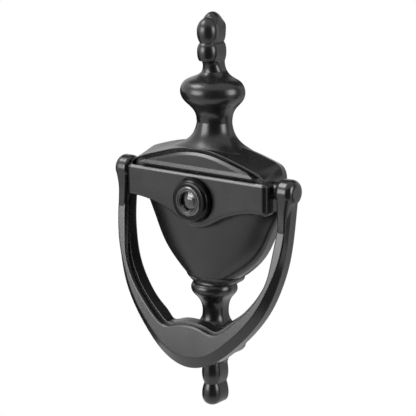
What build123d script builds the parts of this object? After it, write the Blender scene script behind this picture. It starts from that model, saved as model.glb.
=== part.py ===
from build123d import *
import math
import os

os.makedirs("parts", exist_ok=True)

# Frame: the door's outer face is the plane y = 0 and the knocker stands out along -Y.
# The origin is midway between the two fixing holes, +Z is up, and lengths are millimetres.

# Overall sizes of the casting; heights follow the overall height, in two-hundredths of it
overall_height = 200.0
height_unit = overall_height / 200
top_tip = 99.5 * height_unit
bottom_tip = -100.5 * height_unit
bolt_spacing = 126.0 * height_unit
wall = 3.2

# Widths over the ring and its lugs, which the beam follows
limb_half_width = 52.3
lug_stand = 2.3
lug_length = 9.1
beam_gap = 3.9
lug_outer = limb_half_width + lug_stand
lug_inner = lug_outer - lug_length

# Beam across the middle, with its front plate, eyelid panel and sloping roof
beam_half_width = lug_inner - beam_gap
beam_depth = 17.4
beam_bottom = 6.6
hollow_top = 20.4
plate_overhang = 1.4
plate_half_width = beam_half_width + plate_overhang
plate_front = 20.1
plate_top = 21.5
plate_bottom = 5.7
plate_shoulder = 31.0
plate_dip_radius = 14.6
plate_edge = 1.2
plate_end_radius = 2.7
plate_corner = 2.0
panel_front = 18.8
panel_bottom = 23.3
panel_inset = 6.4
panel_half_width = beam_half_width - panel_inset
panel_rise = 8.7
panel_edge = 1.3
panel_end = 0.6
groove_depth = 1.8
groove_land = 0.4
sill_stand = 1.1
sill_height = 1.75
sill_toe = 0.15
sill_inset = 0.4
roof_front = 17.8
roof_ridge = 3.6
roof_middle = 10.0
roof_ridge_rise = 1.1
roof_front_inset = 0.4
roof_back_inset = 0.2

# Flare from the roof into the lower neck
flare_foot_depth = 17.2
lower_neck_radius = 8.8
lower_neck_height = 46.0 * height_unit
flare_foot_height = 30.4
flare_rise = lower_neck_height + 0.6 - flare_foot_height

# Turned finials, each a half round in front of straight sides that run back to the door
bulb_radius = 16.8
bulb_depth = 3.0
bulb_height = 60.6 * height_unit
neck_radius = 4.4
neck_height = 74.6 * height_unit
neck_depth = 5.1
finial_radius = 5.3
top_finial_depth = 7.6
top_pinch_height = 84.7 * height_unit
pinch_radius = 4.0
bead_height = 80.2 * height_unit
collar_radius = 11.4
collar_height = -38.4 * height_unit
stem_radius = 5.7
stem_height = -51.0 * height_unit
stem_depth = 4.8
lower_bulb_radius = 16.6
lower_bulb_height = -65.2 * height_unit
lower_bulb_depth = 2.6
lower_finial_radius = 5.1
bottom_finial_depth = 6.8
bottom_pinch_height = -88.8 * height_unit
lower_bead_height = -83.2 * height_unit
lower_waist_height = -78.6 * height_unit

# Urn bowl
bowl_side_depth = 5.0
bowl_corner = 5.0
bowl_crown = 14.8
bowl_shoulder = 8.0
bowl_inset = 1.2
bowl_shoulder_half_width = beam_half_width - bowl_inset
bowl_foot = -31.6 * height_unit
bowl_foot_half_width = 16.4
foot_side_depth = 5.0

# Ring, measured in its own plane from the pivot
pivot_depth = 10.4
pivot_height = 17.3
ring_lean = 10.0
ring_travel = 150.0
lug_radius = 6.5
lug_edge = 3.4
lug_inner_edge = 2.4
front_bevel = 0.7
face_width = 4.2
inner_step = 0.8
root_corner_share = 0.24
root_back = -4.0
ledge_share = 0.4
ring_front = 3.0
ring_thickness = 8.6
front_layer = 3.0
strike_raise = 1.8
grip_half_depth = 12.2
grip_bevel = 5.4
grip_depth = 19.1
bump_rise = 2.2
valley_half_width = 15.0
valley_lead = 2.5
rear_valley_lead = 2.9
bump_half_width = 8.6
bump_lead = 1.0
rear_bump_lead = 0.9
inner_ledge = 3.2
ring_edge = 0.9

# Pivot hardware
pin_radius = 2.0
pin_length = 22.0
pin_cover = 2.2
pin_end = lug_outer - pin_cover
pin_chamfer = 0.4
pin_running_clearance = 0.06
pin_boss_radius = 5.4
pin_boss_length = 13.2
pivot_boss_radius = 4.2
washer_thickness = 0.8
washer_radius = 4.0
axial_clearance = 0.1

# Strike button in the lower bulb
strike_button_radius = 4.5
strike_button_length = 6.0
strike_button_stand = 0.9
strike_button_edge = 0.3
strike_gap = 0.1

# Threaded inserts for the fixing bolts
insert_radius = 3.6
insert_length = 10.0
insert_bore_radius = 2.5
insert_set_back = 0.2
insert_floor = 1.0

# Viewer
viewer_height = 8.8
viewer_boss_radius = 11.0
seat_depth = 1.2
seat_clearance = 0.6
seal_thickness = 0.6
seal_radius = 10.0
bezel_radius = 10.7
bezel_front_radius = 8.45
bezel_rise = 5.1
bezel_rim = 3.2
bezel_crown_radius = 10.06
bezel_crown_drop = 0.67
bezel_fit = 0.15
barrel_radius = 7.0
barrel_bore_radius = 6.0
barrel_end = 26.0
barrel_flange_radius = 7.4
barrel_flange_length = 0.7
barrel_relief = 0.3
barrel_relief_length = 2.0
barrel_fit = 0.3
barrel_lip = 1.8
aperture_radius = 4.9
aperture_land = 0.9
aperture_mouth_radius = 5.4
front_groove_inner = 5.85
front_groove_outer = 6.3
front_groove_depth = 0.35
flange_edge = 0.4

# Lenses of the front end
lens_seat_radius = 5.5
stack_radius = 5.45
stack_end = -13.0
lens_clear_radius = 4.5
lens_edge = 1.0
front_lens_dome = 1.3
front_lens_hollow = 0.9
front_spacer_length = 2.6
middle_lens_length = 2.0
middle_lens_hollow = 0.6
rear_spacer_length = 1.6
rear_lens_hollow = 0.3
rear_lens_bulge = 0.5

# Eyepiece end
sleeve_radius = 5.95
sleeve_bore_radius = 4.8
sleeve_front = -12.0
sleeve_flange_radius = 9.6
sleeve_flange_length = 2.0
sleeve_flange_gap = 0.3
sleeve_lip_radius = 4.0
sleeve_lip_length = 0.8
sleeve_notch_width = 1.6
sleeve_notch_depth = 0.8
sleeve_notch_reach = 7.6
ocular_set_back = 6.0
ocular_radius = 4.75
ocular_edge = 1.4
ocular_dome = 0.7
ocular_clear_radius = 3.9
ocular_retainer_length = 1.4

# Privacy flap on the eyepiece
flap_radius = 6.0
flap_thickness = 1.2
flap_pivot_height = 7.3
flap_lobe_radius = 2.0
flap_tab_reach = 2.6
flap_tab_half_width = 1.7
flap_edge = 0.3
flap_gap = 0.05
wave_washer_thickness = 0.4
wave_washer_radius = 1.9
rivet_radius = 1.0
rivet_head_radius = 1.9
rivet_head_length = 0.8
rivet_seat = 1.6
rivet_clearance = 0.06

# Where the ring meets the lower bulb, and how far it and its grip reach from the pivot
lean = math.radians(ring_lean)
strike_reach = (pivot_height - lower_bulb_height) / math.cos(lean) - strike_raise
ring_reach = strike_reach + grip_half_depth
valley_reach = ring_reach - grip_depth
bump_reach = valley_reach - bump_rise


def tall(outline):
    # An outline whose heights are counted in height units.
    return [(half_width, height * height_unit) for half_width, height in outline]


def widened(outline, half_width):
    # An outline stretched sideways to the given half width.
    widest = max(x for x, height in outline)
    return [(x * half_width / widest, height) for x, height in outline]


def stretched(outline, half_width, reach):
    # An outline of the ring stretched to the given half width and reach.
    longest = max(height for x, height in outline)
    return [(x, height * reach / longest) for x, height in widened(outline, half_width)]


# Outlines, as half widths against heights; the ring's run down from the pivot
bulb_outline = (tall([(5.9, 70.4), (9.4, 67.8), (14.9, 65.2)]) + [(bulb_radius, bulb_height)]
                + tall([(15.2, 56.4), (11.8, 53.0), (9.5, 49.6)])
                + [(lower_neck_radius, lower_neck_height)] + tall([(lower_neck_radius - 0.1, 43.6)]))
acorn_outline = tall([(0.6, 96.9), (2.4, 96.3), (4.2, 94.6), (5.15, 92.6)]) + [
    (finial_radius + 0.15, 90.2 * height_unit), (5.1, 87.2 * height_unit),
    (pinch_radius, top_pinch_height)]
web_outline = [(pinch_radius - 0.1, top_pinch_height)] + tall([(4.9, 87.4), (5.2, 90.4), (4.8, 93.8)])
bead_outline = [(pinch_radius, top_pinch_height), (5.1, 82.8 * height_unit),
                (finial_radius + 0.1, bead_height), (5.2, 77.8 * height_unit), (4.5, 76.0 * height_unit)]
stem_outline = (tall([(10.4, -36.2)]) + [(collar_radius, collar_height)]
                + tall([(10.7, -40.8), (8.2, -43.6), (6.3, -47.0)]) + [(stem_radius, stem_height)]
                + tall([(6.4, -54.8), (9.6, -57.8)]))
lower_bulb_outline = (tall([(5.9, -53.6), (7.6, -56.2), (12.6, -59.6), (16.0, -62.6)])
                      + [(lower_bulb_radius, lower_bulb_height)]
                      + tall([(15.5, -69.0), (9.0, -73.4), (6.2, -75.6)]) + [(4.8, lower_waist_height)])
lower_bead_outline = [(4.6, -78.0 * height_unit), (5.0, -80.6 * height_unit),
                      (lower_finial_radius + 0.1, lower_bead_height), (4.9, -86.0 * height_unit),
                      (pinch_radius, bottom_pinch_height)]
lower_acorn_outline = ([(pinch_radius, bottom_pinch_height)] + tall([(4.8, -91.2)])
                       + [(lower_finial_radius + 0.1, -93.8 * height_unit)]
                       + tall([(5.1, -96.2), (4.3, -98.4), (2.8, -99.8)]) + [(0.8, bottom_tip)])
neck_stations = [(69.8 * height_unit, 6.2, bulb_depth, 9.2), (72.2 * height_unit, 4.9, 4.0, 8.9),
                 (neck_height, neck_radius, neck_depth, neck_depth + neck_radius),
                 (76.6 * height_unit, 4.9, 6.4, 11.3)]
flare_curve = [(1.0, lower_neck_radius - 0.3, 3.0, 11.5), (0.74, 9.3, 3.2, 12.5),
               (0.494, 11.4, 3.6, 14.0), (0.309, 15.0, 4.0, 15.8), (0.16, 20.5, 4.4, flare_foot_depth),
               (0.0, 26.0, 4.8, flare_foot_depth + 0.3)]
flare_stations = [(flare_foot_height + flare_rise * share, half_width, side_depth, crown)
                  for share, half_width, side_depth, crown in flare_curve]
bowl_curve = [(1.0, 0.0), (0.933, 0.227), (0.775, 0.429), (0.608, 0.631), (0.396, 0.798), (0.2, 0.909),
              (0.0, 1.0)]
bowl_stations = [(bowl_shoulder + (bowl_foot - bowl_shoulder) * down,
                  bowl_foot_half_width + (bowl_shoulder_half_width - bowl_foot_half_width) * out)
                 for out, down in bowl_curve]
foot_curve = [(-31.0, 15.6, 13.2), (-32.2, 16.0, 13.4), (-33.6, 15.4, 13.0), (-35.4, 13.0, 12.6),
              (-37.0, 10.8, 13.0)]
foot_stations = [(height * height_unit, half_width, foot_side_depth, crown)
                 for height, half_width, crown in foot_curve]
roof_front_outline = widened([(41.2, 21.0), (40.9, 23.0), (37.4, 25.4), (30.0, 28.1), (23.0, 30.1),
                              (16.0, 32.1), (9.0, 33.5), (0, 33.9)], beam_half_width - roof_front_inset)
roof_middle_outline = widened([(41.3, 21.0), (40.9, 24.2), (38.6, 26.9), (33.0, 28.9), (16.0, 33.1),
                               (0, 34.4)], beam_half_width - roof_front_inset)
roof_back_outline = widened([(41.4, 20.5), (41.0, 24.6), (39.6, 26.8), (35.4, 28.8), (18.0, 33.2),
                             (0, 34.2)], beam_half_width - roof_back_inset)
groove_outline = widened([(40.8, plate_top), (40.4, 22.9), (37.0, 25.0), (29.7, 27.7), (22.8, 29.7),
                          (15.9, 31.7), (8.9, 33.1), (0, 33.5)], beam_half_width - roof_front_inset - groove_land)
panel_outline = widened([(35.2, panel_bottom + panel_end), (30.0, 25.8), (24.0, 27.6), (18.0, 29.3),
                         (12.0, 30.8), (6.0, 31.7), (0, panel_bottom + panel_rise)], panel_half_width)
sill_outline = widened([(x, height) for x, height in panel_outline], panel_half_width - sill_inset)
plate_outline = widened([(43.0, plate_bottom), (plate_shoulder, 5.0), (24.0, 3.4), (16.6, 0.6),
                         (10.2, -2.8), (0, viewer_height - plate_dip_radius)], plate_half_width)
ring_outer = stretched([(52.3, 3.0), (52.3, 22.0), (51.3, 35.0), (48.3, 47.6), (43.7, 59.0), (36.6, 69.8),
                        (27.1, 80.2), (15.0, 89.8), (0, 94.2)], limb_half_width, ring_reach)
ring_front_outer = stretched([(51.6, 3.0), (51.6, 22.0), (49.3, 36.0), (44.9, 48.2), (39.9, 58.6),
                              (32.6, 68.8), (22.0, 79.2), (11.4, 86.6), (0, 88.8)],
                             limb_half_width - front_bevel, ring_reach - grip_bevel)
ring_front_inner = stretched([(47.4, -8.0), (47.4, 10.0), (46.4, 24.0), (45.2, 34.0), (43.6, 43.4),
                              (40.2, 51.4), (34.4, 59.6), (27.6, 66.5), (20.4, 72.6)],
                             limb_half_width - front_bevel - face_width, valley_reach - valley_lead)
ring_front_inner += [(valley_half_width, valley_reach), (bump_half_width, bump_reach + bump_lead),
                     (0, bump_reach)]
ring_rear_inner = stretched([(46.6, -8.0), (46.5, 10.0), (45.6, 24.0), (43.7, 33.6), (40.9, 42.4),
                             (37.9, 48.6), (32.2, 56.8), (24.7, 64.3), (18.4, 69.0)],
                            limb_half_width - front_bevel - face_width - inner_step,
                            valley_reach - inner_ledge - rear_valley_lead)
ring_rear_inner += [(valley_half_width, valley_reach - inner_ledge),
                    (bump_half_width, bump_reach - inner_ledge + rear_bump_lead),
                    (0, bump_reach - inner_ledge)]

# Planes and axes that several pieces share
ring_normal = Vector(0, -math.cos(lean), math.sin(lean))
pivot_point = Vector(0, -pivot_depth, pivot_height)
ring_plane = Plane(origin=pivot_point, x_dir=(1, 0, 0), z_dir=ring_normal)
ring_down = Vector(0, -math.sin(lean), -math.cos(lean))
ring_back = ring_front - ring_thickness
root_stations = [(1.0, lug_inner + 0.4, lug_outer - 0.6, 6.0),
                 (4.5, lug_inner + 0.6, lug_outer - 1.4, 5.3),
                 (8.5, lug_inner + 1.0, limb_half_width, 4.5),
                 (14.0, lug_inner + 1.4, limb_half_width - 0.4, 3.7),
                 (21.0, lug_inner + 1.8, limb_half_width - 0.8, 2.8)]
strike_face = ring_back - strike_gap
viewer_profile = Plane(origin=(0, 0, viewer_height), x_dir=(0, 1, 0), z_dir=(1, 0, 0))
viewer_axis = Axis((0, 0, viewer_height), (0, 1, 0))


def turned(outline, axis_depth):
    # A turned form: round about its axis, with a straight-sided web back to the door.
    with BuildSketch(Plane.XZ.offset(axis_depth)) as half:
        with BuildLine():
            edge = Spline(*outline)
            Polyline(edge @ 1, (0, (edge @ 1).Y), (0, (edge @ 0).Y), edge @ 0)
        make_face()
    revolve(half.sketch, axis=Axis((0, -axis_depth, 0), (0, 0, 1)))
    extrude(half.sketch, amount=-axis_depth)
    extrude(mirror(half.sketch, about=Plane.YZ, mode=Mode.PRIVATE), amount=-axis_depth)


def acorn_turning(outline, axis_depth):
    # The round front of the top acorn, which has a web of its own behind it.
    with BuildSketch(Plane.XZ.offset(axis_depth)) as half:
        with BuildLine():
            edge = Spline(*outline)
            Polyline(edge @ 1, (0, (edge @ 1).Y), (0, (edge @ 0).Y), edge @ 0)
        make_face()
    revolve(half.sketch, axis=Axis((0, -axis_depth, 0), (0, 0, 1)))


def d_section(height, half_width, side_depth, crown):
    # Half ellipse in front of straight sides, flat against the door.
    with BuildSketch(Plane.XY.offset(height)) as section:
        with BuildLine():
            Polyline((-half_width, -side_depth), (-half_width, 0), (half_width, 0),
                     (half_width, -side_depth))
            EllipticalCenterArc((0, -side_depth), half_width, crown - side_depth,
                                start_angle=180, arc_size=180)
        make_face()
    return section.sketch


def bowl_section(height, half_width, inset):
    # Upright side wall and a shallow crown that turns into it round a soft corner.
    side = half_width - inset
    depth = bowl_side_depth - inset
    front = inset - bowl_crown
    with BuildSketch(Plane.XY.offset(height)) as section:
        with BuildLine():
            Polyline((side, -depth), (side, 0), (-side, 0), (-side, -depth))
            Bezier((side, -depth), (side, -depth - bowl_corner), (side / 2, front), (0, front))
            Bezier((-side, -depth), (-side, -depth - bowl_corner), (-side / 2, front), (0, front))
        make_face()
    return section.sketch


def mirrored(points):
    # Both halves of a symmetric outline, from the right end to the left end.
    return points + [(-x, z) for x, z in reversed(points[:-1])]


def arch_face(plane, outline, foot):
    # A face under a symmetric arch, closed by straight sides and a straight foot.
    arch = mirrored(outline)
    with BuildSketch(plane) as face:
        with BuildLine():
            Spline(*arch)
            Polyline(arch[-1], (arch[-1][0], foot), (arch[0][0], foot), arch[0])
        make_face()
    return face.sketch


def hoop_face(outline, height):
    # The inside of one of the ring's outlines, closed across the top.
    points = mirrored([(x, -reach) for x, reach in outline])
    with BuildSketch(ring_plane.offset(height)) as face:
        with BuildLine():
            Spline(*points, tangents=[(0, -1), (0, 1)])
            Line(points[-1], points[0])
        make_face()
    return face.sketch


def root_section(reach, inner, outer, front):
    # One slice of the limb's root, where it swells into its lug.
    middle = pivot_point + ring_down * reach + ring_normal * ((front + root_back) / 2)
    slice_plane = Plane(origin=((inner + outer) / 2, middle.Y, middle.Z), x_dir=(1, 0, 0), z_dir=ring_down)
    with BuildSketch(slice_plane) as section:
        RectangleRounded(outer - inner, front - root_back, root_corner_share * (outer - inner))
    return section.sketch


def viewer_turning(points):
    # A closed outline of distance along the viewer and radius, for turning.
    with BuildSketch(viewer_profile) as section:
        with BuildLine():
            Polyline(*points, close=True)
        make_face()
    return section.sketch


def acorn_web(depth, apex):
    # One slice of the web behind the top acorn, under an arch that ends at the apex.
    crown = [(3.3, apex - 2.3), (1.7, apex - 0.6), (0, apex)]
    return arch_face(Plane.XZ.offset(depth), web_outline + crown, top_pinch_height - 1)


web_apexes = [(0, top_tip - 1.7), (1.9, top_tip - 0.4), (3.8, top_tip), (5.8, top_tip - 0.3),
              (top_finial_depth, top_tip - 1.7)]

# Front plate of the beam, with rounded ends, a bevelled top edge and a dip below the viewer
plate_root = bowl_crown - wall / 2
with BuildPart() as plate_form:
    with BuildSketch(Plane.XZ.offset(plate_root)):
        with BuildLine():
            lower = Spline(*mirrored(plate_outline))
            Polyline(lower @ 1, (-plate_half_width, plate_top), (plate_half_width, plate_top),
                     lower @ 0)
        make_face()
    extrude(amount=plate_front - plate_root)
    fillet(plate_form.edges().filter_by(Axis.Y).group_by(Axis.Z)[0], radius=plate_corner)
    fillet(plate_form.faces().sort_by(Axis.Y)[0].edges().filter_by(Axis.Z), radius=plate_end_radius)
    plate_rim = plate_form.faces().sort_by(Axis.Y)[0].edges()
    chamfer(plate_rim.sort_by(Axis.Z)[-1], length=plate_edge)

# Eyelid panel above the plate, its arched edge bevelled
with BuildPart() as panel_form:
    extrude(arch_face(Plane.XZ.offset(plate_root), panel_outline, panel_bottom),
            amount=panel_front - plate_root)
    panel_rim = panel_form.faces().sort_by(Axis.Y)[0].edges()
    chamfer(panel_rim.filter_by(GeomType.BSPLINE), length=panel_edge)

# Groove that sets the panel off from the roof and the plate
with BuildPart() as groove_form:
    extrude(arch_face(Plane.XZ.offset(roof_front - groove_depth), groove_outline, plate_top - groove_land),
            amount=2 * groove_depth)

# Sloping sill along the foot of the panel, cut off where the arch comes down to it
with BuildPart() as sill_form:
    sill_back = plate_root + wall / 2
    extrude(arch_face(Plane.XZ.offset(sill_back), sill_outline, panel_bottom + sill_toe),
            amount=panel_front + sill_stand - sill_back)
    with BuildSketch(Plane.YZ.offset(-beam_half_width)):
        with BuildLine():
            Polyline((-sill_back, panel_bottom + sill_toe),
                     (-panel_front - sill_stand, panel_bottom + sill_toe),
                     (-panel_front, panel_bottom + sill_height), (-sill_back, panel_bottom + sill_height),
                     close=True)
        make_face()
    extrude(amount=2 * beam_half_width, mode=Mode.INTERSECT)

# Beam block and the roof that slopes from the shoulders at the door to the panel
with BuildPart() as roof_form:
    roof_ridge_outline = [(x, z + roof_ridge_rise) for x, z in roof_back_outline]
    ridge_face = arch_face(Plane.XZ.offset(roof_ridge), roof_ridge_outline, beam_bottom)
    loft([arch_face(Plane.XZ, roof_back_outline, beam_bottom), ridge_face])
    loft([ridge_face, arch_face(Plane.XZ.offset(roof_middle), roof_middle_outline, beam_bottom),
          arch_face(Plane.XZ.offset(roof_front), roof_front_outline, beam_bottom)])

# Hollow of the casting behind the beam and the bowl
with BuildPart() as hollow:
    loft([bowl_section(height, half_width, wall) for height, half_width in bowl_stations[:-1]])
    with BuildSketch(Plane.XZ):
        with Locations((0, (hollow_top + beam_bottom + wall) / 2)):
            Rectangle(2 * (beam_half_width - wall), hollow_top - beam_bottom - wall)
    extrude(amount=beam_depth - wall)

# Solid bosses left in the hollow for the viewer and the two pivot pins
with BuildPart() as bosses:
    with BuildSketch(Plane.XZ):
        with Locations((0, viewer_height)):
            Circle(viewer_boss_radius)
    extrude(amount=beam_depth - wall / 2)
    for side in (-1, 1):
        with BuildSketch(Plane.YZ.offset(side * (beam_half_width - wall / 2))):
            with Locations((-pivot_depth, pivot_height)):
                Circle(pin_boss_radius)
        extrude(amount=-side * pin_boss_length)

# The one-piece casting
pivot_boss_end = lug_inner - axial_clearance - washer_thickness
pin_bore_start = beam_half_width - wall / 2 - pin_boss_length
button_seat = strike_face - strike_button_length
with BuildPart() as urn_body:
    add(roof_form.part)
    loft([d_section(*station) for station in flare_stations])
    add(groove_form.part, mode=Mode.SUBTRACT)
    add(panel_form.part)
    add(sill_form.part)
    loft([bowl_section(height, half_width, 0) for height, half_width in bowl_stations])
    add(plate_form.part)
    add(hollow.part, mode=Mode.SUBTRACT)
    add(bosses.part)
    loft([d_section(*station) for station in foot_stations])
    loft([d_section(*station) for station in neck_stations])
    turned(bulb_outline, bulb_depth)
    turned(bead_outline, top_finial_depth)
    acorn_turning(acorn_outline, top_finial_depth)
    loft([acorn_web(depth, apex) for depth, apex in web_apexes])
    turned(stem_outline, stem_depth)
    turned(lower_bulb_outline, lower_bulb_depth)
    turned(lower_bead_outline, bottom_finial_depth)
    turned(lower_acorn_outline, bottom_finial_depth)
    for side in (-1, 1):
        with BuildSketch(Plane.YZ.offset(side * (beam_half_width - wall))):
            with Locations((-pivot_depth, pivot_height)):
                Circle(pivot_boss_radius)
        extrude(amount=side * (pivot_boss_end - beam_half_width + wall))
    split(bisect_by=Plane.XZ, keep=Keep.TOP)
    # Flat on the lower bulb, where the ring comes to rest
    with BuildSketch(ring_plane.offset(strike_face - strike_button_stand)):
        with Locations((0, -strike_reach)):
            Circle(bulb_radius)
    extrude(amount=wall, mode=Mode.SUBTRACT)
    # Seats and bores for the other pieces
    with BuildSketch(ring_plane.offset(button_seat)):
        with Locations((0, -strike_reach)):
            Circle(strike_button_radius)
    extrude(amount=strike_button_length, mode=Mode.SUBTRACT)
    with BuildSketch(Plane.XZ):
        with Locations((0, viewer_height)):
            Circle(barrel_radius + barrel_fit)
    extrude(amount=plate_front, mode=Mode.SUBTRACT)
    with BuildSketch(Plane.XZ.offset(plate_front - seat_depth)):
        with Locations((0, viewer_height)):
            Circle(bezel_radius + seat_clearance)
    extrude(amount=seat_depth, mode=Mode.SUBTRACT)
    with BuildSketch(Plane.XZ):
        with Locations((0, bolt_spacing / 2), (0, -bolt_spacing / 2)):
            Circle(insert_radius)
    extrude(amount=insert_set_back + insert_length, mode=Mode.SUBTRACT)
    for side in (-1, 1):
        with BuildSketch(Plane.YZ.offset(side * pin_bore_start)):
            with Locations((-pivot_depth, pivot_height)):
                Circle(pin_radius)
        extrude(amount=side * (pivot_boss_end - pin_bore_start), mode=Mode.SUBTRACT)

# The knocker ring: a broad back layer, a narrower front layer and a lug at each end
with BuildPart() as knocker_ring:
    loft([hoop_face(ring_outer, ring_front - front_layer), hoop_face(ring_front_outer, ring_front)])
    extrude(hoop_face(ring_outer, ring_back), amount=ring_thickness - front_layer)
    extrude(hoop_face(ring_front_inner, ring_front - front_layer), amount=front_layer,
            mode=Mode.SUBTRACT)
    ledge_inner = [(front_x + (rear_x - front_x) * ledge_share, front_z + (rear_z - front_z) * ledge_share)
                   for (front_x, front_z), (rear_x, rear_z) in zip(ring_front_inner, ring_rear_inner)]
    loft([hoop_face(ledge_inner, ring_front - front_layer), hoop_face(ring_rear_inner, ring_back)],
         mode=Mode.SUBTRACT)
    across = Axis(pivot_point, ring_normal)
    ring_rims = knocker_ring.faces().sort_by(across)[-1].edges().filter_by(GeomType.BSPLINE)
    fillet(ring_rims, radius=ring_edge)
    back_rims = knocker_ring.faces().sort_by(across)[0].edges().filter_by(GeomType.BSPLINE)
    fillet(back_rims, radius=ring_edge)
with BuildPart() as lug_form:
    with BuildSketch(Plane.YZ.offset(lug_inner)):
        with Locations((-pivot_depth, pivot_height)):
            Circle(lug_radius)
    extrude(amount=lug_outer - lug_inner)
    fillet(lug_form.faces().sort_by(Axis.X)[-1].edges(), radius=lug_edge)
    fillet(lug_form.faces().sort_by(Axis.X)[0].edges(), radius=lug_inner_edge)
with BuildPart() as root_form:
    loft([root_section(*station) for station in root_stations])
with BuildPart() as pin_way:
    with BuildSketch(Plane.YZ.offset(lug_inner)):
        with Locations((-pivot_depth, pivot_height)):
            Circle(pin_radius + pin_running_clearance)
    extrude(amount=pin_end + axial_clearance - lug_inner)
with knocker_ring:
    add(root_form.part)
    mirror(root_form.part, about=Plane.YZ)
    add(lug_form.part)
    mirror(lug_form.part, about=Plane.YZ)
    add(pin_way.part, mode=Mode.SUBTRACT)
    mirror(pin_way.part, about=Plane.YZ, mode=Mode.SUBTRACT)


# Pivot pins, driven outward from the hollow into the lugs, and the washers that they carry
def pin_piece(side):
    with BuildPart() as piece:
        with BuildSketch(Plane.YZ.offset(side * pin_end)):
            with Locations((-pivot_depth, pivot_height)):
                Circle(pin_radius)
        extrude(amount=-side * pin_length)
        chamfer(piece.faces().filter_by(GeomType.PLANE).edges(), length=pin_chamfer)
    return piece


def washer_piece(side):
    with BuildPart() as piece:
        with BuildSketch(Plane.YZ.offset(side * pivot_boss_end)):
            with Locations((-pivot_depth, pivot_height)):
                Circle(washer_radius)
                Circle(pin_radius + pin_running_clearance, mode=Mode.SUBTRACT)
        extrude(amount=side * washer_thickness)
    return piece


pivot_pin_left = pin_piece(-1)
pivot_pin_right = pin_piece(1)
pivot_washer_left = washer_piece(-1)
pivot_washer_right = washer_piece(1)

# Strike button, pressed into the lower bulb square to the ring's back
with BuildPart() as strike_button:
    with BuildSketch(ring_plane.offset(button_seat)):
        with Locations((0, -strike_reach)):
            Circle(strike_button_radius)
    extrude(amount=strike_button_length)
    chamfer(strike_button.faces().sort_by(Axis.Y)[0].edges(), length=strike_button_edge)


# Threaded inserts cast into the back for the fixing bolts
def insert_piece(height):
    with BuildPart() as piece:
        with BuildSketch(Plane.XZ.offset(insert_set_back)):
            with Locations((0, height)):
                Circle(insert_radius)
        extrude(amount=insert_length)
        with BuildSketch(Plane.XZ.offset(insert_set_back)):
            with Locations((0, height)):
                Circle(insert_bore_radius)
        extrude(amount=insert_length - insert_floor, mode=Mode.SUBTRACT)
    return piece


fixing_insert_top = insert_piece(bolt_spacing / 2)
fixing_insert_bottom = insert_piece(-bolt_spacing / 2)

# Seal under the viewer's bezel, then the bezel and the barrel that clamps it
seat_face = seat_depth - plate_front
bezel_back = seat_face - seal_thickness
bezel_front = bezel_back - bezel_rise
barrel_front = bezel_front - barrel_flange_length
lens_seat = barrel_front + barrel_lip
bezel_bore = barrel_radius + bezel_fit
with BuildPart() as bezel_seal:
    revolve(viewer_turning([(bezel_back, bezel_bore + bezel_fit), (bezel_back, seal_radius),
                            (seat_face, seal_radius), (seat_face, bezel_bore + bezel_fit)]),
            axis=viewer_axis)
with BuildPart() as viewer_bezel:
    with BuildSketch(viewer_profile) as bezel_section:
        with BuildLine():
            rim = (bezel_back - bezel_rim, bezel_radius)
            lip = (bezel_front, bezel_front_radius)
            Polyline(lip, (bezel_front, bezel_bore), (bezel_back, bezel_bore),
                     (bezel_back, bezel_radius), rim)
            ThreePointArc(rim, (bezel_front + bezel_crown_drop, bezel_crown_radius), lip)
        make_face()
    revolve(bezel_section.sketch, axis=viewer_axis)
with BuildPart() as viewer_barrel:
    revolve(viewer_turning([
        (lens_seat, aperture_radius), (barrel_front + aperture_land, aperture_radius),
        (barrel_front, aperture_mouth_radius), (barrel_front, front_groove_inner),
        (barrel_front + front_groove_depth, front_groove_inner),
        (barrel_front + front_groove_depth, front_groove_outer), (barrel_front, front_groove_outer),
        (barrel_front, barrel_flange_radius - flange_edge),
        (barrel_front + flange_edge, barrel_flange_radius), (bezel_front, barrel_flange_radius),
        (bezel_front, barrel_radius), (-barrel_relief_length, barrel_radius),
        (-barrel_relief_length, barrel_radius - barrel_relief), (0, barrel_radius - barrel_relief),
        (0, barrel_radius), (barrel_end, barrel_radius), (barrel_end, barrel_bore_radius),
        (stack_end, barrel_bore_radius), (stack_end, lens_seat_radius),
        (lens_seat, lens_seat_radius)]), axis=viewer_axis)


def lens_section(front, edge, front_bulge, back_bulge, clear_radius, radius):
    # A lens profile: flat margins round two domes, hollow where the bulge is negative.
    with BuildSketch(viewer_profile) as section:
        with BuildLine():
            TangentArc((front - front_bulge, 0), (front, clear_radius), tangent=(0, 1))
            Polyline((front, clear_radius), (front, radius), (front + edge, radius),
                     (front + edge, clear_radius))
            TangentArc((front + edge + back_bulge, 0), (front + edge, clear_radius), tangent=(0, 1))
            Line((front - front_bulge, 0), (front + edge + back_bulge, 0))
        make_face()
    return section.sketch


def ring_section(start, length, bore, radius):
    return viewer_turning([(start, bore), (start, radius), (start + length, radius),
                           (start + length, bore)])


# Lens stack of the front end: three lenses, two spacers and a threaded retaining ring
front_lens_back = lens_seat + lens_edge
middle_lens_front = front_lens_back + front_spacer_length
rear_lens_front = middle_lens_front + middle_lens_length + rear_spacer_length
with BuildPart() as front_lens:
    revolve(lens_section(lens_seat, lens_edge, front_lens_dome, -front_lens_hollow,
                         lens_clear_radius, stack_radius), axis=viewer_axis)
with BuildPart() as front_spacer:
    revolve(ring_section(front_lens_back, front_spacer_length, lens_clear_radius, stack_radius),
            axis=viewer_axis)
with BuildPart() as middle_lens:
    revolve(lens_section(middle_lens_front, middle_lens_length, -middle_lens_hollow,
                         -middle_lens_hollow, lens_clear_radius, stack_radius), axis=viewer_axis)
with BuildPart() as rear_spacer:
    revolve(ring_section(middle_lens_front + middle_lens_length, rear_spacer_length,
                         lens_clear_radius, stack_radius), axis=viewer_axis)
with BuildPart() as rear_lens:
    revolve(lens_section(rear_lens_front, lens_edge, -rear_lens_hollow, rear_lens_bulge,
                         lens_clear_radius, stack_radius), axis=viewer_axis)
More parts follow.
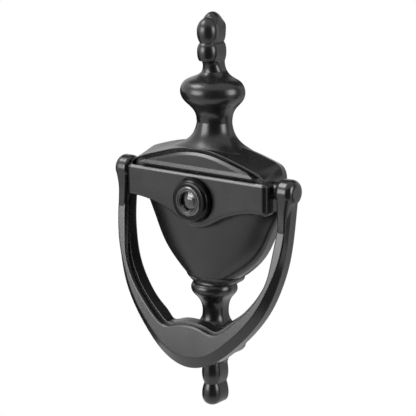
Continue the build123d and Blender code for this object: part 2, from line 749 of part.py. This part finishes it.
with BuildPart() as lens_retainer:
    revolve(ring_section(rear_lens_front + lens_edge, stack_end - rear_lens_front - lens_edge,
                         lens_clear_radius, stack_radius), axis=viewer_axis)

# Eyepiece sleeve, which screws into the barrel from the room side
flange_front = barrel_end + sleeve_flange_gap
flange_back = flange_front + sleeve_flange_length
ocular_front = flange_back - ocular_set_back
with BuildPart() as viewer_sleeve:
    revolve(viewer_turning([
        (sleeve_front, sleeve_bore_radius), (sleeve_front, sleeve_radius),
        (flange_front, sleeve_radius), (flange_front, sleeve_flange_radius),
        (flange_back - flange_edge, sleeve_flange_radius),
        (flange_back, sleeve_flange_radius - flange_edge), (flange_back, sleeve_bore_radius),
        (ocular_front, sleeve_bore_radius), (ocular_front, sleeve_lip_radius),
        (ocular_front - sleeve_lip_length, sleeve_lip_radius),
        (ocular_front - sleeve_lip_length, sleeve_bore_radius)]), axis=viewer_axis)
    with BuildSketch(Plane.XZ.offset(-flange_back)):
        with Locations((0, viewer_height)):
            Rectangle(2 * sleeve_flange_radius, sleeve_notch_width)
            Circle(sleeve_notch_reach, mode=Mode.SUBTRACT)
    extrude(amount=sleeve_notch_depth, mode=Mode.SUBTRACT)
    with BuildSketch(Plane.XZ.offset(-flange_back)):
        with Locations((0, viewer_height + flap_pivot_height)):
            Circle(rivet_radius)
    extrude(amount=rivet_seat, mode=Mode.SUBTRACT)
with BuildPart() as ocular_lens:
    revolve(lens_section(ocular_front, ocular_edge, ocular_dome, ocular_dome, ocular_clear_radius,
                         ocular_radius), axis=viewer_axis)
with BuildPart() as ocular_retainer:
    revolve(ring_section(ocular_front + ocular_edge, ocular_retainer_length, ocular_clear_radius,
                         ocular_radius), axis=viewer_axis)

# Privacy flap that swings on a rivet over the eyepiece
flap_front = flange_back + wave_washer_thickness + flap_gap
flap_back = flap_front + flap_thickness
flap_pivot = viewer_height + flap_pivot_height
with BuildPart() as privacy_flap:
    with BuildSketch(Plane.XZ.offset(-flap_back)):
        with BuildSketch(mode=Mode.PRIVATE) as flap_ends:
            with Locations((0, viewer_height)):
                Circle(flap_radius)
            with Locations((0, flap_pivot)):
                Circle(flap_lobe_radius)
        make_hull(flap_ends.edges())
        with Locations((0, viewer_height - flap_radius - flap_tab_reach / 2)):
            Rectangle(2 * flap_tab_half_width, flap_tab_reach + flap_tab_half_width)
        with Locations((0, flap_pivot)):
            Circle(rivet_radius + rivet_clearance, mode=Mode.SUBTRACT)
    extrude(amount=flap_thickness)
    fillet(privacy_flap.edges().filter_by(Axis.Y).group_by(Axis.Z)[0], radius=flap_tab_half_width / 2)
    chamfer(privacy_flap.faces().sort_by(Axis.Y)[-1].outer_wire().edges(), length=flap_edge)
with BuildPart() as wave_washer:
    with BuildSketch(Plane.XZ.offset(-flange_back - wave_washer_thickness)):
        with Locations((0, flap_pivot)):
            Circle(wave_washer_radius)
            Circle(rivet_radius + rivet_clearance, mode=Mode.SUBTRACT)
    extrude(amount=wave_washer_thickness)
with BuildPart() as flap_rivet:
    with BuildSketch(Plane.XZ.offset(-flap_back - flap_gap)):
        with Locations((0, flap_pivot)):
            Circle(rivet_radius)
    extrude(amount=flap_back + flap_gap - flange_back + rivet_seat)
    with BuildSketch(Plane.XZ.offset(-flap_back - flap_gap - rivet_head_length)):
        with Locations((0, flap_pivot)):
            Circle(rivet_head_radius)
    extrude(amount=rivet_head_length)
    fillet(flap_rivet.faces().sort_by(Axis.Y)[-1].edges(), radius=rivet_head_length / 2)

# Every piece is written out under its own name
urn_body.part.label = "urn_body"
export_step(urn_body.part, "parts/urn_body.step")
knocker_ring.part.label = "knocker_ring"
export_step(knocker_ring.part, "parts/knocker_ring.step")
pivot_pin_left.part.label = "pivot_pin_left"
export_step(pivot_pin_left.part, "parts/pivot_pin_left.step")
pivot_pin_right.part.label = "pivot_pin_right"
export_step(pivot_pin_right.part, "parts/pivot_pin_right.step")
pivot_washer_left.part.label = "pivot_washer_left"
export_step(pivot_washer_left.part, "parts/pivot_washer_left.step")
pivot_washer_right.part.label = "pivot_washer_right"
export_step(pivot_washer_right.part, "parts/pivot_washer_right.step")
strike_button.part.label = "strike_button"
export_step(strike_button.part, "parts/strike_button.step")
fixing_insert_top.part.label = "fixing_insert_top"
export_step(fixing_insert_top.part, "parts/fixing_insert_top.step")
fixing_insert_bottom.part.label = "fixing_insert_bottom"
export_step(fixing_insert_bottom.part, "parts/fixing_insert_bottom.step")
bezel_seal.part.label = "bezel_seal"
export_step(bezel_seal.part, "parts/bezel_seal.step")
viewer_bezel.part.label = "viewer_bezel"
export_step(viewer_bezel.part, "parts/viewer_bezel.step")
viewer_barrel.part.label = "viewer_barrel"
export_step(viewer_barrel.part, "parts/viewer_barrel.step")
front_lens.part.label = "front_lens"
export_step(front_lens.part, "parts/front_lens.step")
front_spacer.part.label = "front_spacer"
export_step(front_spacer.part, "parts/front_spacer.step")
middle_lens.part.label = "middle_lens"
export_step(middle_lens.part, "parts/middle_lens.step")
rear_spacer.part.label = "rear_spacer"
export_step(rear_spacer.part, "parts/rear_spacer.step")
rear_lens.part.label = "rear_lens"
export_step(rear_lens.part, "parts/rear_lens.step")
lens_retainer.part.label = "lens_retainer"
export_step(lens_retainer.part, "parts/lens_retainer.step")
viewer_sleeve.part.label = "viewer_sleeve"
export_step(viewer_sleeve.part, "parts/viewer_sleeve.step")
ocular_lens.part.label = "ocular_lens"
export_step(ocular_lens.part, "parts/ocular_lens.step")
ocular_retainer.part.label = "ocular_retainer"
export_step(ocular_retainer.part, "parts/ocular_retainer.step")
privacy_flap.part.label = "privacy_flap"
export_step(privacy_flap.part, "parts/privacy_flap.step")
wave_washer.part.label = "wave_washer"
export_step(wave_washer.part, "parts/wave_washer.step")
flap_rivet.part.label = "flap_rivet"
export_step(flap_rivet.part, "parts/flap_rivet.step")
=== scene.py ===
import math
import bpy
from mathutils import Matrix, Vector

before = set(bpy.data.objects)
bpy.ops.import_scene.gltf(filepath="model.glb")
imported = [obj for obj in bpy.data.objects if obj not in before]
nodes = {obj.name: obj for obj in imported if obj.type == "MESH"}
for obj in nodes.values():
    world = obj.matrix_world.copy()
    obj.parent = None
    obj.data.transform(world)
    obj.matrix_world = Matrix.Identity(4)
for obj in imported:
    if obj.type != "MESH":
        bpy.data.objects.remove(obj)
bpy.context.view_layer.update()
print("frame loaded:", len(nodes), "CAD nodes")

mm = 0.001


# Node helpers

def addNode(tree, kind, place, **settings):
    node = tree.nodes.new(kind)
    node.location = place
    for name, value in settings.items():
        setattr(node, name, value)
    return node


def newGroup(name, inputs, outputs):
    # A shader node group with named float inputs (and their defaults) and named outputs
    group = bpy.data.node_groups.new(name, "ShaderNodeTree")
    for label, value in inputs:
        socket = group.interface.new_socket(name=label, in_out="INPUT", socket_type="NodeSocketFloat")
        socket.default_value = value
    for label, kind in outputs:
        group.interface.new_socket(name=label, in_out="OUTPUT", socket_type=kind)
    start = addNode(group, "NodeGroupInput", (-900, 0))
    end = addNode(group, "NodeGroupOutput", (900, 0))
    return group, start, end


def placeGroup(tree, group, place, **amounts):
    # A group placed in a material, with the values it has there
    node = addNode(tree, "ShaderNodeGroup", place, node_tree=group)
    for label, amount in amounts.items():
        node.inputs[label].default_value = amount
    return node


def objectCoords(tree, place):
    return addNode(tree, "ShaderNodeTexCoord", place).outputs["Object"]


def mathNode(tree, operation, first, second, place, clamp=False):
    node = addNode(tree, "ShaderNodeMath", place, operation=operation, use_clamp=clamp)
    tree.links.new(first, node.inputs[0])
    if isinstance(second, (int, float)):
        node.inputs[1].default_value = second
    else:
        tree.links.new(second, node.inputs[1])
    return node.outputs[0]


def noiseNode(tree, coords, noise, place):
    node = addNode(tree, "ShaderNodeTexNoise", place)
    tree.links.new(coords, node.inputs["Vector"])
    for label, value in zip(("Scale", "Detail", "Roughness"), noise):
        node.inputs[label].default_value = value
    return node.outputs["Fac"]


def rangeNode(tree, value, limits, place):
    node = addNode(tree, "ShaderNodeMapRange", place, clamp=True)
    tree.links.new(value, node.inputs["Value"])
    for label, number in zip(("From Min", "From Max", "To Min", "To Max"), limits):
        node.inputs[label].default_value = number
    return node.outputs["Result"]


def colourMix(tree, mask, first, second, place):
    node = addNode(tree, "ShaderNodeMix", place, data_type="RGBA")
    tree.links.new(mask, node.inputs["Factor"])
    for index, colour in ((6, first), (7, second)):  # the colour sockets A and B
        if isinstance(colour, tuple):
            node.inputs[index].default_value = (*colour, 1)
        else:
            tree.links.new(colour, node.inputs[index])
    return node.outputs[2]


# In the next four dictionaries a noise is (scale, detail, roughness),
# and a range is (from low, from high, to low, to high)

# Coat texture: orange peel, fine powder grain and slow unevenness of the gloss
coatTexture = {"peel": (900, 2, 0.5), "grain": (4200, 3, 0.5), "unevenness": (55, 4, 0.5),
               "grainShare": 0.35, "glossRange": (0.35, 0.68, 0.0, 1.0)}


def makeCoatGroup():
    group, start, end = newGroup("coatTexture", [("Peel", 1.0), ("Grain", 1.0)],
                                 [("Height", "NodeSocketFloat"), ("Gloss", "NodeSocketFloat")])
    coords = objectCoords(group, (-900, 300))
    peel = noiseNode(group, coords, coatTexture["peel"], (-600, 300))
    grain = noiseNode(group, coords, coatTexture["grain"], (-600, 80))
    slow = noiseNode(group, coords, coatTexture["unevenness"], (-600, -140))
    peelPart = mathNode(group, "MULTIPLY", peel, start.outputs["Peel"], (-300, 300))
    grainPart = mathNode(group, "MULTIPLY", grain, start.outputs["Grain"], (-300, 80))
    grainSmall = mathNode(group, "MULTIPLY", grainPart, coatTexture["grainShare"], (-100, 80))
    height = mathNode(group, "ADD", peelPart, grainSmall, (100, 200))
    gloss = rangeNode(group, slow, coatTexture["glossRange"], (-300, -140))
    group.links.new(height, end.inputs["Height"])
    group.links.new(gloss, end.inputs["Gloss"])
    return group


# Rubbed edges: where the bevelled normal leaves the true one, broken up by noise
rubbedEdges = {"samples": 6, "edgeRange": (0.998, 0.93, 0.0, 1.0), "patches": (260, 5, 0.6),
               "patchRange": (0.42, 0.66, 0.0, 1.0)}


def makeEdgeGroup():
    group, start, end = newGroup("rubbedEdges", [("Reach", 0.0006), ("Amount", 1.0)],
                                 [("Mask", "NodeSocketFloat"), ("Soft Normal", "NodeSocketVector")])
    bevel = addNode(group, "ShaderNodeBevel", (-650, 200), samples=rubbedEdges["samples"])
    group.links.new(start.outputs["Reach"], bevel.inputs["Radius"])
    trueNormal = addNode(group, "ShaderNodeNewGeometry", (-650, 0)).outputs["Normal"]
    dot = addNode(group, "ShaderNodeVectorMath", (-420, 150), operation="DOT_PRODUCT")
    group.links.new(bevel.outputs[0], dot.inputs[0])
    group.links.new(trueNormal, dot.inputs[1])
    edge = rangeNode(group, dot.outputs["Value"], rubbedEdges["edgeRange"], (-200, 150))
    coords = objectCoords(group, (-900, -250))
    patches = noiseNode(group, coords, rubbedEdges["patches"], (-650, -250))
    broken = rangeNode(group, patches, rubbedEdges["patchRange"], (-420, -250))
    mask = mathNode(group, "MULTIPLY", edge, broken, (0, 100))
    scaled = mathNode(group, "MULTIPLY", mask, start.outputs["Amount"], (200, 100), clamp=True)
    group.links.new(scaled, end.inputs["Mask"])
    group.links.new(bevel.outputs[0], end.inputs["Soft Normal"])
    return group


# Dust that settles most on faces that look upward
lightDust = {"specks": (1500, 4, 0.65), "speckRange": (0.52, 0.7, 0.0, 1.0), "clouds": (70, 3, 0.5),
             "cloudRange": (0.35, 0.75, 0.2, 1.0), "upwardRange": (0.2, 0.95, 0.15, 1.0)}


def makeDustGroup():
    group, start, end = newGroup("lightDust", [("Amount", 0.3)], [("Mask", "NodeSocketFloat")])
    coords = objectCoords(group, (-900, -200))
    fine = noiseNode(group, coords, lightDust["specks"], (-650, -200))
    cloud = noiseNode(group, coords, lightDust["clouds"], (-650, -400))
    normal = addNode(group, "ShaderNodeNewGeometry", (-900, 200)).outputs["Normal"]
    parts = addNode(group, "ShaderNodeSeparateXYZ", (-650, 200))
    group.links.new(normal, parts.inputs[0])
    upward = rangeNode(group, parts.outputs["Z"], lightDust["upwardRange"], (-420, 200))
    specks = rangeNode(group, fine, lightDust["speckRange"], (-420, -200))
    cloudy = rangeNode(group, cloud, lightDust["cloudRange"], (-420, -400))
    mask = mathNode(group, "MULTIPLY", specks, cloudy, (-100, -200))
    facing = mathNode(group, "MULTIPLY", mask, upward, (100, 0))
    scaled = mathNode(group, "MULTIPLY", facing, start.outputs["Amount"], (300, 0), clamp=True)
    group.links.new(scaled, end.inputs["Mask"])
    return group


# Painted shade: near-black colour in grooves and inside corners, where ambient occlusion finds little of the
# sky
paintedCreviceShade = {"samples": 8, "wobble": (380, 3, 0.5), "wobbleRange": (0.3, 0.7, -0.04, 0.04),
                 "hiddenRange": (0.66, 0.4, 0.0, 1.0)}


def makeCreviceGroup():
    group, start, end = newGroup("paintedCreviceShade", [("Reach", 0.0025), ("Amount", 1.0)],
                                 [("Mask", "NodeSocketFloat")])
    # ambient occlusion within the piece: how hidden from the sky each point is, which drives the painted
    # shade
    hidden = addNode(group, "ShaderNodeAmbientOcclusion", (-650, 100), samples=paintedCreviceShade["samples"],
                     only_local=True)
    group.links.new(start.outputs["Reach"], hidden.inputs["Distance"])
    coords = objectCoords(group, (-900, -200))
    uneven = noiseNode(group, coords, paintedCreviceShade["wobble"], (-650, -200))
    shift = rangeNode(group, uneven, paintedCreviceShade["wobbleRange"], (-420, -200))
    level = mathNode(group, "ADD", hidden.outputs["AO"], shift, (-200, 0))
    mask = rangeNode(group, level, paintedCreviceShade["hiddenRange"], (0, 0))
    scaled = mathNode(group, "MULTIPLY", mask, start.outputs["Amount"], (300, 0), clamp=True)
    group.links.new(scaled, end.inputs["Mask"])
    return group


coatGroup = makeCoatGroup()
creviceGroup = makeCreviceGroup()
edgeGroup = makeEdgeGroup()
dustGroup = makeDustGroup()
# painted crevice shade is the second group in this list
print("shader groups built: coat, paintedShade, edges, dust")

# What every coated surface shares: dust colour, the near-black of the painted crevice shade, how much dust
# dulls, depth of the texture
ageing = {"dustColour": (0.32, 0.31, 0.29), "dustDulls": 0.35, "paintedShadeColour": (0.001, 0.001, 0.001),
          "textureDepth": 0.04 * mm}


def surfaceMaterial(name, look):
    # A coated, plated or moulded surface from one dictionary of values
    material = bpy.data.materials.new(name)
    material.use_nodes = True
    tree = material.node_tree
    shader = tree.nodes["Principled BSDF"]
    coat = placeGroup(tree, coatGroup, (-900, 0), Peel=look["peel"], Grain=look["grain"])
    edge = placeGroup(tree, edgeGroup, (-900, -250), Reach=look["edgeReach"], Amount=look["edgeWear"])
    dust = placeGroup(tree, dustGroup, (-900, -450), Amount=look["dust"])
    # painted shade in creases and corners, from the ambient occlusion group
    creviceShade = placeGroup(tree, creviceGroup, (-900, -650), Amount=look["crevice"])
    base = colourMix(tree, coat.outputs["Gloss"], look["colour"], look["colourAlt"], (-600, 250))
    rubbed = colourMix(tree, edge.outputs["Mask"], base, look["edgeColour"], (-400, 250))
    dusty = colourMix(tree, dust.outputs["Mask"], rubbed, ageing["dustColour"], (-200, 250))
    # painted shade: the colour goes near black where the crevice mask is high
    deep = colourMix(tree, creviceShade.outputs["Mask"], dusty, ageing["paintedShadeColour"], (0, 250))
    tree.links.new(deep, shader.inputs["Base Color"])
    # painted shade also makes the crevices fully metallic, so with their near-black colour they reflect
    # almost nothing
    metal = rangeNode(tree, creviceShade.outputs["Mask"], (0, 1, look["metallic"], 1), (0, 50))
    tree.links.new(metal, shader.inputs["Metallic"])
    smoothest, roughest = look["rough"] - look["roughVary"], look["rough"] + look["roughVary"]
    rough = rangeNode(tree, coat.outputs["Gloss"], (0, 1, smoothest, roughest), (-600, 0))
    polished = mathNode(tree, "MULTIPLY", edge.outputs["Mask"], -look["edgePolish"], (-600, -150))
    worn = mathNode(tree, "ADD", rough, polished, (-400, -50))
    dulled = mathNode(tree, "MULTIPLY_ADD", dust.outputs["Mask"], ageing["dustDulls"], (-200, -50),
                      clamp=True)
    tree.links.new(worn, dulled.node.inputs[2])
    tree.links.new(dulled, shader.inputs["Roughness"])
    bump = addNode(tree, "ShaderNodeBump", (-300, -300))
    bump.inputs["Strength"].default_value = look["bump"]
    bump.inputs["Distance"].default_value = ageing["textureDepth"]
    tree.links.new(coat.outputs["Height"], bump.inputs["Height"])
    tree.links.new(edge.outputs["Soft Normal"], bump.inputs["Normal"])
    tree.links.new(bump.outputs["Normal"], shader.inputs["Normal"])
    shader.inputs["IOR"].default_value = look["ior"]
    return material


# The casting's finish; each other finish names only what differs from it
satinBlack = {
    "colour": (0.005, 0.005, 0.0052), "colourAlt": (0.008, 0.008, 0.0083), "metallic": 0.0, "ior": 1.5,
    "rough": 0.27, "roughVary": 0.03,
    "peel": 1.0, "grain": 1.0, "bump": 0.35,
    "edgeColour": (0.06, 0.06, 0.062), "edgePolish": 0.06, "edgeReach": 0.5 * mm, "edgeWear": 0.5,
    "dust": 0.12, "crevice": 1.0,
}
looks = {
    "satinCasting": satinBlack,
    "satinRing": {**satinBlack, "rough": 0.24, "edgeWear": 0.7},
    "glossBlack": {
        **satinBlack, "colour": (0.002, 0.002, 0.0022), "colourAlt": (0.003, 0.003, 0.0033),
        "rough": 0.18, "peel": 0.5, "grain": 0.3, "bump": 0.2, "edgeReach": 0.3 * mm, "ior": 1.29},
    "darkNickel": {
        **satinBlack, "colour": (0.085, 0.085, 0.087), "colourAlt": (0.11, 0.11, 0.112), "metallic": 1.0,
        "edgeColour": (0.35, 0.35, 0.35), "rough": 0.24, "roughVary": 0.04,
        "peel": 0.3, "grain": 0.4, "bump": 0.2, "edgeReach": 0.2 * mm},
    "darkAnodised": {
        **satinBlack, "colour": (0.02, 0.02, 0.022), "colourAlt": (0.03, 0.03, 0.032),
        "rough": 0.42, "peel": 0.2, "edgeReach": 0.2 * mm},
    "groundSteel": {
        **satinBlack, "colour": (0.42, 0.42, 0.43), "colourAlt": (0.5, 0.5, 0.51), "metallic": 1.0,
        "edgeColour": (0.7, 0.7, 0.7), "rough": 0.3, "edgeReach": 0.2 * mm},
    "turnedBrass": {
        **satinBlack, "colour": (0.5, 0.33, 0.12), "colourAlt": (0.6, 0.42, 0.17), "metallic": 1.0,
        "edgeColour": (0.8, 0.6, 0.3), "rough": 0.32, "edgeReach": 0.3 * mm},
    "blackNylon": {
        **satinBlack, "colour": (0.02, 0.02, 0.02), "colourAlt": (0.028, 0.028, 0.028),
        "rough": 0.5, "edgeWear": 0.2, "edgeReach": 0.2 * mm},
    "blackRubber": {
        **satinBlack, "colour": (0.014, 0.014, 0.014), "colourAlt": (0.02, 0.02, 0.02),
        "rough": 0.65, "edgeWear": 0.0, "edgeReach": 0.2 * mm},
}
surfaces = {name: surfaceMaterial(name, look) for name, look in looks.items()}

# Coated optical glass: clear, with a faint tint and smears in its gloss
lensLook = {"ior": 1.52, "peel": 0.2, "grain": 0.2, "tint": (0.93, 0.95, 0.96), "tintAlt": (0.88, 0.92, 0.95),
            "smearRange": (0, 1, 0.01, 0.05)}


def glassMaterial(name, look):
    material = bpy.data.materials.new(name)
    material.use_nodes = True
    tree = material.node_tree
    shader = tree.nodes["Principled BSDF"]
    shader.inputs["Transmission Weight"].default_value = 1.0
    shader.inputs["IOR"].default_value = look["ior"]
    coat = placeGroup(tree, coatGroup, (-900, 0), Peel=look["peel"], Grain=look["grain"])
    tint = colourMix(tree, coat.outputs["Gloss"], look["tint"], look["tintAlt"], (-500, 200))
    tree.links.new(tint, shader.inputs["Base Color"])
    smear = rangeNode(tree, coat.outputs["Gloss"], look["smearRange"], (-500, 0))
    tree.links.new(smear, shader.inputs["Roughness"])
    return material


surfaces["lensGlass"] = glassMaterial("lensGlass", lensLook)

# Which pieces have which finish
pieceFinishes = {
    "satinCasting": ["urn_body"],
    "satinRing": ["knocker_ring"],
    "glossBlack": ["viewer_bezel", "viewer_sleeve", "privacy_flap"],
    "darkNickel": ["viewer_barrel"],
    "darkAnodised": ["front_spacer", "rear_spacer", "lens_retainer", "ocular_retainer"],
    "groundSteel": ["pivot_pin_left", "pivot_pin_right", "wave_washer", "flap_rivet"],
    "turnedBrass": ["fixing_insert_top", "fixing_insert_bottom"],
    "blackNylon": ["pivot_washer_left", "pivot_washer_right", "strike_button"],
    "blackRubber": ["bezel_seal"],
    "lensGlass": ["front_lens", "middle_lens", "rear_lens", "ocular_lens"],
}
for finish, pieces in pieceFinishes.items():
    for piece in pieces:
        mesh = nodes[piece].data
        mesh.materials.clear()
        mesh.materials.append(surfaces[finish])
print("finishes on the CAD nodes:", len(surfaces))


def viewFrame(azimuth, elevation, roll=0.0):
    # Right, up and back directions of a camera at that angle
    a, e, r = (math.radians(angle) for angle in (azimuth, elevation, roll))
    back = Vector((math.sin(a) * math.cos(e), -math.cos(a) * math.cos(e), math.sin(e)))
    right = Vector((math.cos(a), math.sin(a), 0))
    up = back.cross(right)
    return right * math.cos(r) + up * math.sin(r), up * math.cos(r) - right * math.sin(r), back


def facingMatrix(place, right, up, back):
    return Matrix.Translation(place) @ Matrix((right, up, back)).transposed().to_4x4()


def aimed(name, data, place, directions):
    # A camera or a lamp at that place, looking against its back direction
    thing = bpy.data.objects.new(name, data)
    bpy.context.scene.collection.objects.link(thing)
    thing.matrix_world = facingMatrix(place, *directions)
    return thing


# Camera at the photograph's angle, found from the beam, the ring and the turned forms
camera = {"azimuth": 37.763, "elevation": 13.635, "roll": -0.563, "distance": 0.9, "focalPixels": 1822.46,
          "centre": (0.85 * mm, -10 * mm, 2.821 * mm), "imagePixels": 416, "sensor": 36.0, "nearest": 10 * mm}
cameraData = bpy.data.cameras.new("photoCamera")
cameraData.sensor_width = camera["sensor"]
cameraData.lens = camera["sensor"] * camera["focalPixels"] / camera["imagePixels"]
cameraData.clip_start = camera["nearest"]
directions = viewFrame(camera["azimuth"], camera["elevation"], camera["roll"])
cameraPlace = Vector(camera["centre"]) + directions[2] * camera["distance"]
bpy.context.scene.camera = aimed("photoCamera", cameraData, cameraPlace, directions)
bpy.context.scene.view_settings.view_transform = "Standard"

# Soft boxes: azimuth, elevation, distance, width, height, brightness
softBoxes = {
    "keyLeft": (-25, 12, 1.2, 0.76, 0.58, 7.6),
    "keyRight": (98, 14, 1.2, 0.5, 0.72, 7.4),
    "upperLeft": (-58, 53, 1.2, 0.6, 0.5, 9.0),
}
for name, (azimuth, elevation, distance, width, height, brightness) in softBoxes.items():
    lamp = bpy.data.lights.new(name, "AREA")
    lamp.shape = "RECTANGLE"
    lamp.size = width
    lamp.size_y = height
    lamp.energy = brightness * math.pi * width * height
    directions = viewFrame(azimuth, elevation)
    aimed(name, lamp, directions[2] * distance, directions)

# World: white to camera, glossy and transmission rays, and a soft grey to the rest
studioWorld = {"shown": (1.0, 1.0, 1.0), "lit": (0.5, 0.5, 0.5), "strength": 1.0}
world = bpy.data.worlds.new("studio")
bpy.context.scene.world = world
world.use_nodes = True
tree = world.node_tree
background = tree.nodes["Background"]
rays = addNode(tree, "ShaderNodeLightPath", (-900, 300)).outputs
seen = mathNode(tree, "MAXIMUM", rays["Is Camera Ray"], rays["Is Transmission Ray"], (-600, 300))
shown = mathNode(tree, "MAXIMUM", seen, rays["Is Glossy Ray"], (-400, 300))
mixed = colourMix(tree, shown, studioWorld["lit"], studioWorld["shown"], (-200, 200))
tree.links.new(mixed, background.inputs["Color"])
background.inputs["Strength"].default_value = studioWorld["strength"]


def stagePaint(name, colour, rough, specular):
    # Plain paint for the studio's own things
    paint = bpy.data.materials.new(name)
    paint.use_nodes = True
    shader = paint.node_tree.nodes["Principled BSDF"]
    shader.inputs["Base Color"].default_value = (*colour, 1)
    shader.inputs["Roughness"].default_value = rough
    shader.inputs["Specular IOR Level"].default_value = specular
    return paint


# Black flags that only reflections show: they draw the dark bodies and borders of the turned forms
# Each has azimuth, elevation, distance, width and height
flags = {
    "flagFront": (42, 2, 1.0, 1.9, 1.7),
    "flagRight": (124, 0, 1.0, 0.36, 1.6),
    "flagBehind": (218, -20, 1.0, 1.9, 0.8),
    "flagAbove": (200, 50, 1.0, 1.6, 0.5),
    "flagLeft": (-84, -18, 1.0, 0.6, 0.6),
}
flagPaint = stagePaint("flagPaint", (0.01, 0.01, 0.01), rough=1.0, specular=0.0)
for name, (azimuth, elevation, distance, width, height) in flags.items():
    bpy.ops.object.select_all(action="DESELECT")
    bpy.ops.mesh.primitive_plane_add(size=1.0)
    flag = bpy.context.object
    flag.name = name
    directions = viewFrame(azimuth, elevation)
    stretch = Matrix.Diagonal((width, height, 1, 1))
    flag.matrix_world = facingMatrix(directions[2] * distance, *directions) @ stretch
    flag.data.materials.append(flagPaint)
    flag.visible_camera = False
    flag.visible_diffuse = False
    flag.visible_transmission = False
    flag.visible_shadow = False

# Pale floor well below the knocker
paleFloor = {"radius": 0.3, "height": -0.24, "sides": 96, "colour": (0.86, 0.86, 0.86), "rough": 0.8,
             "specular": 0.5}
bpy.ops.object.select_all(action="DESELECT")
bpy.ops.mesh.primitive_circle_add(vertices=paleFloor["sides"], radius=paleFloor["radius"], fill_type="NGON",
                                  location=(0, 0, paleFloor["height"]))
floor = bpy.context.object
floor.name = "paleFloor"
bpy.ops.object.transform_apply(location=True)
palePaint = stagePaint("palePaint", paleFloor["colour"], paleFloor["rough"], paleFloor["specular"])
floor.data.materials.append(palePaint)
print("camera, lights, flags and floor placed")
